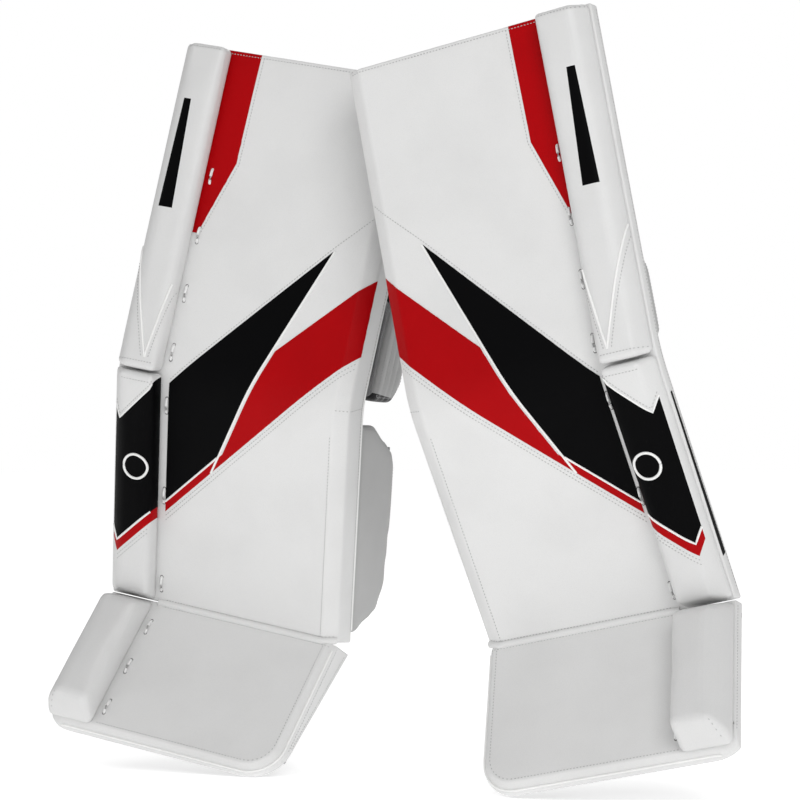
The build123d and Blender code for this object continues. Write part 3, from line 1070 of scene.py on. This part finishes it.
def blank_boot():
    """The boot's cover: a flat face with a sloping rim, thinner towards the toe."""
    bm = bmesh.new()
    wide = HALF + RIM_WIDTH
    outline = ((-wide, 40), (-wide, -BOOT), (HALF, -BOOT), (HALF, 40))
    corners = [bm.verts.new((x, BEVEL_DEPTH, z)) for x, z in outline]
    bm.faces.new(corners)
    for corner, radius in ((corners[1], 34.0), (corners[2], TOE_CORNER)):
        bmesh.ops.bevel(
            bm,
            geom=[corner],
            offset=radius,
            offset_type="OFFSET",
            segments=9,
            profile=0.5,
            affect="VERTICES",
            material=-1,
        )
    bm.faces.ensure_lookup_table()
    walls = bmesh.ops.extrude_face_region(bm, geom=[bm.faces[0]])
    backs = [item for item in walls["geom"] if isinstance(item, bmesh.types.BMVert)]
    bmesh.ops.translate(bm, vec=(0, BACK - BEVEL_DEPTH, 0), verts=backs)
    bmesh.ops.recalc_face_normals(bm, faces=bm.faces)
    front = min(bm.faces, key=lambda face: face.calc_center_median().y)
    bmesh.ops.inset_region(bm, faces=[front], thickness=RIM_WIDTH, depth=BEVEL_DEPTH)
    trim(bm, Vector((-HALF, 0, 0)), Vector((-1, 0, 0)))
    slope = math.sin(ANKLE_RELIEF), math.cos(ANKLE_RELIEF)
    for vert in bm.verts:
        if vert.co.y > BACK - 1:
            vert.co.y = BACK + TAPER * vert.co.z
    trim(bm, Vector((0, 0, -0.3)), Vector((0, -slope[0], slope[1])))
    chamfer = Vector((OUTER_WALL - BACK, OUTER_SLOPE, 0)).normalized()
    trim(bm, Vector((-HALF, OUTER_WALL, 0)), chamfer)
    outward(bm)
    round_edges(bm, 1.8, segments=3, angle=22)
    return bm


class PADS_OT_boots(bpy.types.Operator):
    """Boot covers with their stitched rims"""

    bl_idname = "pads.boots"
    bl_label = "Boots"

    def execute(self, context):
        width = context.scene.pad_sizes.piping_width * 1000
        bm = blank_boot()
        grid(bm, 0, -HALF, HALF, GRID)
        grid(bm, 2, -BOOT, 18, GRID)
        grid(bm, 1, 0, BACK, GRID)
        crown(bm, 1.8, 95, 20, -BOOT + 14, 0)
        bm.normal_update()
        seams = Seams(bm)
        edge = HALF - RIM_WIDTH - 2.5
        toe = -BOOT + RIM_WIDTH + 2.5
        bend = PLATEAU_CORNER - 2.5
        turn = arc_points((edge - bend, toe + bend), bend, 9, 0, -90)
        seams.row([(edge, -5)] + turn + [(ROLL_BASE + 2, toe)])
        seams.row([(LACE_LINE + 6, -ANKLE_SEAM), (HALF - 4, -ANKLE_SEAM)])
        seams.row([(BEVEL_DEPTH + 3, 2), (BEVEL_DEPTH + 3, -BOOT + TOE_CORNER)], "inner")
        seams.row([(BACK - 6, 8), (BACK - 6 - TAPER * 130, -130)], "inner")
        seams.row([(4, -4), (4, -BOOT + 26)], "outer")
        middle = (HALF - TOE_CORNER, -BOOT + TOE_CORNER)
        corner = arc_points(middle, TOE_CORNER - RIM_PIPE, 9, 0, -90)
        rim = [(HALF - RIM_PIPE, -6)] + corner + [(-HALF + 18, -BOOT + RIM_PIPE)]
        seams.pipe(rim, width)
        add_pair(
            "boot_face",
            bm,
            "boot",
            "boot",
            ["cover_leather"],
            "white_leather",
            ("boot_core", "boot_cover"),
            padded=0.95,
        )
        add_pair("boot_stitching", seams.threads, "boot", "boot", ["thread"], "cord")
        self.ankle_welt()
        add_pair("boot_piping", seams.rims, "boot", "boot", ["piping_vinyl"], "white_leather")
        return {"FINISHED"}

    def ankle_welt(self):
        """The soft strip that hides the fold between the shin and the boot."""
        bm = bmesh.new()
        corner = (HALF - BEVEL_WIDTH, -0.6, 0)
        path = [(ROLL_BASE + 4, -0.6, 0), corner, (HALF - 1.5, BEVEL_DEPTH - 1, 0)]
        tube(bm, spaced(path, 6), 4.2, sides=14)
        outward(bm)
        add_pair("ankle_welt", bm, "shin", "shin", ["cover_leather"], "white_leather")


# ---------- back panels ----------
def quilt(bm, spacing, depth):
    """Press a diamond pattern of sewn channels into a panel's back."""
    for vert in bm.verts:
        if vert.normal.y < 0.6:
            continue
        press = 0
        for direction in (1, -1):
            place = (vert.co.x * direction + vert.co.z) / spacing
            press = max(press, 1 - abs(place - round(place)) * spacing / 5)
        vert.co.y -= depth * max(press, 0)


def back_panel(low, high, outer=-HALF + OUTER_SLOPE, inner=HALF - 2, front=BACK + 0.2):
    profile = [(outer, front), (outer, BACK + LINING), (inner, BACK + LINING), (inner, front)]
    bm = prism(profile, low, high)
    round_edges(bm, 1.0, segments=2)
    grid(bm, 0, outer, inner, 6)
    grid(bm, 2, low, high, 6)
    bm.normal_update()
    quilt(bm, 42, 1.5)
    return bm


class PADS_OT_back_panels(bpy.types.Operator):
    """Quilted black panels behind the thigh, the shin and the boot"""

    bl_idname = "pads.back_panels"
    bl_label = "Back panels"

    def execute(self, context):
        bm = back_panel(-14, TOP - 6)
        seams = Seams(bm)
        for x in (-HALF + OUTER_SLOPE + 4, HALF - 6):
            seams.row([(x, -10), (x, TOP - 10)], "behind")
        seams.row([(-HALF + OUTER_SLOPE + 4, TOP - 10), (HALF - 6, TOP - 10)], "behind")
        add_pair(
            "long_back_panel",
            bm,
            "folded",
            "shin",
            ["backing_cloth"],
            "backing",
            ("thigh_lining", "shin_lining"),
            padded=0.9,
            blend=KNEE_BLEND,
        )
        rows = seams.threads
        bent = {"blend": KNEE_BLEND}
        add_pair("back_panel_stitching", rows, "folded", "shin", ["thread"], "cord", **bent)
        sole = back_panel(-BOOT + 4, 15)
        corner = TOE_CORNER - 4
        for x, z, way in ((HALF - 6, corner - 8, 1), (-HALF + OUTER_SLOPE + 4, 8, -1)):
            trim(sole, Vector((x, 0, z - BOOT)), Vector((way, 0, -1)).normalized())
        for vert in sole.verts:
            vert.co.y += TAPER * vert.co.z
        sole.normal_update()
        under = Seams(sole)
        for x in (-HALF + OUTER_SLOPE + 4, HALF - 6):
            under.row([(x, -120), (x, 10)], "behind")
        under.row([(-100, -BOOT + 9), (90, -BOOT + 9)], "behind")
        cloth, lining = ["backing_cloth"], ("boot_lining",)
        add_pair("boot_back_panel", sole, "boot", "boot", cloth, "backing", lining, padded=0.9)
        add_pair("boot_back_stitching", under.threads, "boot", "boot", ["thread"], "cord")
        return {"FINISHED"}


# ---------- wings, landings and cushions ----------
def channel(bm, axis, places, chosen, depth, width=5.0):
    """Press sewn channels into a cushion, across an axis, where chosen(vert) holds."""
    bm.normal_update()
    moves = []
    for vert in bm.verts:
        if chosen(vert):
            press = sum(math.exp(-(((vert.co[axis] - place) / width) ** 2)) for place in places)
            moves.append((vert, vert.normal * depth * min(press, 1)))
    for vert, move in moves:
        vert.co -= move


# The wings' sewn edges, as (depth, height).
INNER_WING_EDGE = (
    (54, -4), (106, 4), (124, 30), (132, 99), (133, 163), (127, 181), (77, 226), (54, 233)
)
OUTER_WING_EDGE = ((54, 20), (88, 34), (106, 64), (113, 110), (114, 168), (106, 188), (54, 218))
KNEE_WING_EDGE = ((51, 28), (94, 35), (94, 101), (83, 112), (51, 116))
DASH_WIDTH = 9
LANDING_RIBS = (92, 106, 120)
LEATHER_EDGE = 129.0     # the landing's side from here on is leather, above its foot
LEATHER_FOOT = 27.0
LANDING_EDGE = ((82, 23), (124, 27), (137, 46), (137, 125), (122, 139), (82, 143))


class PADS_OT_wings(bpy.types.Operator):
    """Calf wings and knee wings: stitched flaps over a thin foam"""

    bl_idname = "pads.wings"
    bl_label = "Wings"

    def execute(self, context):
        self.wing("inner_calf_wing", "inner_flap", "shin", "inner_wing", "inner", INNER_WING_EDGE)
        self.wing("outer_calf_wing", "outer_flap", "shin", "outer_wing", "outer", OUTER_WING_EDGE)
        self.wing("outer_knee_wing", "knee_flap", "thigh", "thigh", "outer", KNEE_WING_EDGE)
        return {"FINISHED"}

    def wing(self, node, name, section, body, look, edge):
        bm = remeshed_node("right", node, section, 3.5, shrink=0.3)
        swell(bm, 3.0, 1.0, hold=lambda x, y, z: y < 50)
        settle(bm, 7)
        seams = Seams(bm)
        seams.row(edge, look)
        soft = {"padded": 0.8, "smooth_angle": 0}
        # The wings' finish is darkened as painted shade.
        add_pair(name, bm, section, body, ["shaded_wing_vinyl"], "wing_leather", (node,), **soft)
        add_pair(f"{name}_stitching", seams.threads, section, body, ["thread"], "cord")
        if name == "outer_flap":
            marks = bmesh.new()
            for low in range(40, 200, 23):
                dash = [(80, low), (80, low + 15)]
                piping(marks, seams.surface, dash, DASH_WIDTH, look, lift=-3.2)
            add_pair(f"{name}_dashes", marks, section, body, ["black_leather"], "wing_leather")


class PADS_OT_cushions(bpy.types.Operator):
    """Knee landings, knee cushions and shin cushions"""

    bl_idname = "pads.cushions"
    bl_label = "Cushions"

    def execute(self, context):
        self.landing()
        knee = remeshed_node("right", "knee_cradle", "thigh", 4.0, shrink=1.0)
        swell(knee, 4.0, 2.0, hold=lambda x, y, z: y < 50)
        channel(knee, 2, (46, 75, 104), lambda vert: vert.normal.y > 0.4 and vert.co.x < 90, 2.5)
        self.cushion(knee, "knee_cushion", "thigh", "thigh", "knee_cradle", ["cushion_cloth"], 0.7)
        shin = remeshed_node("right", "shin_cradle", "shin", 4.0, shrink=1.0)
        swell(shin, 4.0, 5.0, hold=lambda x, y, z: y < 50)
        channel(shin, 2, (69, 117, 165), lambda vert: vert.normal.y > 0.4, 4.0)
        channel(shin, 0, (14,), lambda vert: vert.normal.y > 0.4, 2.5)
        self.cushion(shin, "shin_cushion", "shin", "shin", "shin_cradle", ["cushion_cloth"], 0.7)
        return {"FINISHED"}

    def landing(self):
        """The knee landing: white leather at its side with sewn ribs, black cloth elsewhere."""
        bm = remeshed_node("right", "knee_landing", "thigh", 4.0, shrink=0.8)
        swell(bm, 4.0, 2.0, hold=lambda x, y, z: y < 80)
        settle(bm, 3)
        channel(bm, 1, LANDING_RIBS, lambda vert: vert.normal.x > 0.4, 1.8, width=3.0)
        # The landing's leather side uses the wing finish, darkened as painted shade.
        finishes = ["cushion_cloth", "shaded_wing_vinyl"]
        seams = self.cushion(bm, "landing_block", "thigh", "landing", "knee_landing", finishes, 0.8)
        seams.row(LANDING_EDGE + LANDING_EDGE[:1], "inner")
        for depth in LANDING_RIBS:
            seams.row([(depth, 30), (depth, 138)], "inner")
        add_pair("landing_stitching", seams.threads, "thigh", "landing", ["thread"], "cord")

    def cushion(self, bm, name, section, body, node, finishes, fill):
        bmesh.ops.subdivide_edges(bm, edges=bm.edges, cuts=1, use_grid_fill=True)
        settle(bm, 1)
        if len(finishes) > 1:
            score(bm, Vector((LEATHER_EDGE, 0, 0)), Vector((1, 0, 0)))
            score(bm, Vector((0, 0, LEATHER_FOOT)), Vector((0, 0, 1)))
            for face in bm.faces:
                middle = face.calc_center_median()
                face.material_index = int(middle.x > LEATHER_EDGE and middle.z > LEATHER_FOOT)
        seams = Seams(bm)
        add_pair(name, bm, section, body, finishes, "cushion", (node,), padded=fill, smooth_angle=0)
        return seams


# ---------- straps and hardware ----------
def arc_through(start, middle, finish):
    """Centre, radius, first angle and turn of the arc through three points."""
    (ax, ay), (bx, by), (cx, cy) = start, middle, finish
    a, b, c = (x**2 + y**2 for x, y in (start, middle, finish))
    d = 2 * (ax * (by - cy) + bx * (cy - ay) + cx * (ay - by))
    ux = (a * (by - cy) + b * (cy - ay) + c * (ay - by)) / d
    uy = (a * (cx - bx) + b * (ax - cx) + c * (bx - ax)) / d
    radius = math.hypot(ax - ux, ay - uy)
    first = math.atan2(ay - uy, ax - ux)
    last = math.atan2(cy - uy, cx - ux)
    turn = (last - first + math.pi) % (2 * math.pi) - math.pi
    middle_turn = (math.atan2(by - uy, bx - ux) - first + math.pi) % (2 * math.pi) - math.pi
    if turn * middle_turn < 0:
        turn += 2 * math.pi if turn < 0 else -2 * math.pi
    return (ux, uy), radius, first, turn


def webbing(bm, arc, low, high, thickness=2.1, part=(0.0, 1.0), out=0.0):
    """A strap drawn flat with its UV map, then bent round an arc."""
    (ux, uy), radius, first, turn = arc
    length = abs(turn) * radius
    near, far = (share * length for share in part)
    half = thickness / 2
    strip = prism([(near, -half), (near, half), (far, half), (far, -half)], low, high)
    round_edges(strip, thickness * 0.3, segments=2)
    grid(strip, 0, near, far, 5)
    grid(strip, 2, low, high, (high - low) / 4)
    flat = strip.loops.layers.uv.new("UVMap")
    for face in strip.faces:
        for loop in face.loops:
            loop[flat].uv = (loop.vert.co.x / 1000, loop.vert.co.z / 1000)
    for vert in strip.verts:
        angle = first + turn * vert.co.x / length
        reach = radius + out + vert.co.y
        vert.co = (ux + reach * math.cos(angle), uy + reach * math.sin(angle), vert.co.z)
    outward(strip)
    merge(bm, strip)


def arc_stitches(threads, arc, part, heights, out):
    """Rows of stitches round a strap, on both of its sides."""
    (ux, uy), radius, first, turn = arc
    length = abs(turn) * radius
    pitch = bpy.context.scene.pad_sizes.stitch_pitch * 1000
    thick = bpy.context.scene.pad_sizes.thread_thickness * 1000
    shape = Matrix.Diagonal((pitch * 0.34, thick * 0.5, thick * 0.4, 1))
    count = max(1, round((part[1] - part[0]) * length / pitch))
    for height in heights:
        for number in range(count):
            share = part[0] + (part[1] - part[0]) * (number + 0.5) / count
            angle = first + turn * share
            spoke = Vector((math.cos(angle), math.sin(angle), 0))
            ahead = Vector((-spoke.y, spoke.x, 0))
            facing = Matrix((ahead, Vector((0, 0, 1)), spoke)).transposed().to_4x4()
            for reach in out:
                spot = Vector((ux, uy, height)) + spoke * (radius + reach)
                place = Matrix.Translation(spot) @ facing @ shape
                bmesh.ops.create_icosphere(threads, subdivisions=1, radius=1, matrix=place)


WEB_WIDTH = 38.0
TOE_EYELET_RADIUS = 4.1
CALF_ARC = arc_through((-98, 118), (0, 160), (102, 136))
KNEE_ARC = arc_through((112, 146), (0, 150), (-106, 103))
HEEL_ARC = arc_through((-112, 42), (0, 138), (112, 42))


class PADS_OT_straps(bpy.types.Operator):
    """Webbing straps with their sewn ends and hook patches"""

    bl_idname = "pads.straps"
    bl_label = "Straps"

    def execute(self, context):
        for name, low in (("upper", 140), ("lower", 70)):
            body, node = f"{name}_band", f"{name}_calf_strap"
            self.strap(f"{name}_calf_webbing", CALF_ARC, low, low + WEB_WIDTH, "shin", body, node)
        self.strap("knee_webbing", KNEE_ARC, 50, 50 + WEB_WIDTH, "thigh", "knee_band", "knee_strap")
        self.strap("heel_webbing", HEEL_ARC, -66, -40, "boot", "heel_band", "boot_strap", both=True)
        return {"FINISHED"}

    def strap(self, name, arc, low, high, section, body, node, both=False):
        bm = bmesh.new()
        threads = bmesh.new()
        webbing(bm, arc, low, high)
        ends = [(0.84, 1.0)] + ([(0.0, 0.16)] if both else [])
        for part in ends:
            webbing(bm, arc, low + 0.6, high - 0.6, part=part, out=2.15)
            arc_stitches(threads, arc, part, (low + 4, (low + high) / 2, high - 4), (3.3, -1.15))
        arc_stitches(threads, arc, (0.03, 0.97), (low + 2.2, high - 2.2), (1.15, -1.15))
        add_pair(name, bm, section, body, ["strap_webbing"], "webbing", (node,))
        add_pair(f"{name}_stitching", threads, section, body, ["dark_thread"], "webbing")


class PADS_OT_hardware(bpy.types.Operator):
    """Finish the moulded hooks, rings and toe bridges, and add their eyelets"""

    bl_idname = "pads.hardware"
    bl_label = "Hardware"

    def execute(self, context):
        for side in SIDES:
            for node in ("upper_calf_hook", "lower_calf_hook", "wing_rings", "toe_bridge"):
                part = frame["nodes"][f"{side}_{node}"]
                part.data.materials.clear()
                part.data.materials.append(material("black_plastic"))
        self.toe_eyelets()
        self.anchors()
        return {"FINISHED"}

    def toe_eyelets(self):
        drop = BOOT - 30
        out = Vector((0, 1, -TAPER)).normalized()
        across = Vector((1, 0, 0))
        up = across.cross(out) * -1
        base = Vector((0, BACK + LINING - TAPER * drop, -drop)) + out * 5
        bm = bmesh.new()
        for x in (-15, 15):
            ring = arc_points((x, 0), TOE_EYELET_RADIUS, 24)
            tube(bm, [base + across * right + up * rise for right, rise in ring], 0.9)
        add_pair("toe_eyelets", bm, "boot", "boot", ["dark_eyelet"], "hardware")

    def anchors(self):
        """Sewn tabs that hold each strap's fixed end."""
        heel = bmesh.new()
        for x in (-112, 112):
            tab = prism([(x - 9, 36.5), (x - 9, 41), (x + 9, 41), (x + 9, 36.5)], -64, -42)
            round_edges(tab, 1.0, segments=2)
            merge(heel, tab)
        add_pair("heel_anchors", heel, "boot", "boot", ["strap_webbing"], "webbing")


# ---------- stage ----------
SENSOR = 36.0            # millimetres
LENS = 3.745 * SENSOR
FAR = 50.0               # metres
CAMERA_PLACE = (0.01978, -3.20027, 0.40592)
PAPER_RADIUS = 14.0
PAPER_GLOW = 0.58
WORLD_GLOW = 0.47        # what the backdrop gives to the pads; the camera sees it at 1
# name, place, what it points at, size and power
LAMPS = (
    ("key_light", (0.8, -3.4, 1.9), (0.0, 0.0, 0.4), 1.8, 46),
    ("fill_light", (-2.6, -2.4, 1.2), (0.0, 0.0, 0.4), 2.0, 5),
    ("back_light", (0.3, 2.4, 2.6), (0.0, 0.3, 0.4), 2.0, 22),
)


class PADS_OT_stage(bpy.types.Operator):
    """Pale floor and backdrop, soft lights and the camera"""

    bl_idname = "pads.stage"
    bl_label = "Stage"

    def execute(self, context):
        scene = context.scene
        paper_finish = Finish("stage_paper")
        paper_finish.feed(
            paper_finish.shader,
            Base_Color=(0.9, 0.9, 0.9, 1),
            Roughness=0.9,
            Emission_Color=(1, 1, 1, 1),
            Emission_Strength=PAPER_GLOW,
        )
        bm = bmesh.new()
        below = Matrix.Translation((0, 0, -0.0005))
        bmesh.ops.create_circle(
            bm, cap_ends=True, segments=64, radius=PAPER_RADIUS, matrix=below
        )
        paper = add_object("paper_floor", bm, ["stage_paper"], 0)
        bm.free()
        world = bpy.data.worlds.new("studio")
        world.use_nodes = True
        nodes = world.node_tree.nodes
        glow = nodes["Background"]
        glow.inputs["Color"].default_value = (1, 1, 1, 1)
        ray = nodes.new("ShaderNodeLightPath")
        strength = nodes.new("ShaderNodeMapRange")
        strength.inputs["To Min"].default_value = WORLD_GLOW
        strength.inputs["To Max"].default_value = 1.0
        world.node_tree.links.new(ray.outputs["Is Camera Ray"], strength.inputs["Value"])
        world.node_tree.links.new(strength.outputs["Result"], glow.inputs["Strength"])
        scene.world = world
        scene.view_settings.view_transform = "Standard"
        for lamp in LAMPS:
            self.lamp(*lamp)
        lens = bpy.data.cameras.new("camera")
        lens.lens = LENS
        lens.sensor_width = SENSOR
        lens.clip_end = FAR
        camera = bpy.data.objects.new("camera", lens)
        camera.location = CAMERA_PLACE
        camera.rotation_euler = (math.radians(90), 0, 0)
        scene.collection.objects.link(camera)
        scene.camera = camera
        return {"FINISHED"}

    def lamp(self, name, place, target, size, power):
        light = bpy.data.lights.new(name, "AREA")
        light.shape = "SQUARE"
        light.size = size
        light.energy = power
        holder = bpy.data.objects.new(name, light)
        holder.location = place
        holder.rotation_euler = (Vector(target) - Vector(place)).to_track_quat("-Z", "Y").to_euler()
        bpy.context.scene.collection.objects.link(holder)


# ---------- add-on ----------
class PADS_PT_panel(bpy.types.Panel):
    """Sizes, colours and pieces of the leg pads"""

    bl_idname = "PADS_PT_panel"
    bl_label = "Goalie Leg Pads"
    bl_space_type = "VIEW_3D"
    bl_region_type = "UI"
    bl_category = "Leg Pads"

    def draw(self, context):
        layout = self.layout
        for settings in (context.scene.pad_sizes, context.scene.pad_colours):
            for name in settings.__annotations__:
                layout.prop(settings, name)
        for step in STEPS:
            layout.operator(step.bl_idname)


STEPS = (
    PADS_OT_finishes,
    PADS_OT_covers,
    PADS_OT_rolls,
    PADS_OT_laces,
    PADS_OT_boots,
    PADS_OT_back_panels,
    PADS_OT_wings,
    PADS_OT_cushions,
    PADS_OT_straps,
    PADS_OT_hardware,
    PADS_OT_stage,
)
CLASSES = (PadSizes, PadColours, *STEPS, PADS_PT_panel)


def register():
    for kind in CLASSES:
        bpy.utils.register_class(kind)
    bpy.types.Scene.pad_sizes = bpy.props.PointerProperty(type=PadSizes)
    bpy.types.Scene.pad_colours = bpy.props.PointerProperty(type=PadColours)


def unregister():
    del bpy.types.Scene.pad_colours
    del bpy.types.Scene.pad_sizes
    for kind in reversed(CLASSES):
        bpy.utils.unregister_class(kind)


def main():
    register()
    bpy.ops.pads.finishes()
    bpy.ops.pads.covers()
    bpy.ops.pads.rolls()
    bpy.ops.pads.laces()
    bpy.ops.pads.boots()
    bpy.ops.pads.back_panels()
    bpy.ops.pads.wings()
    bpy.ops.pads.cushions()
    bpy.ops.pads.straps()
    bpy.ops.pads.hardware()
    bpy.ops.pads.stage()


if __name__ == "__main__":
    main()
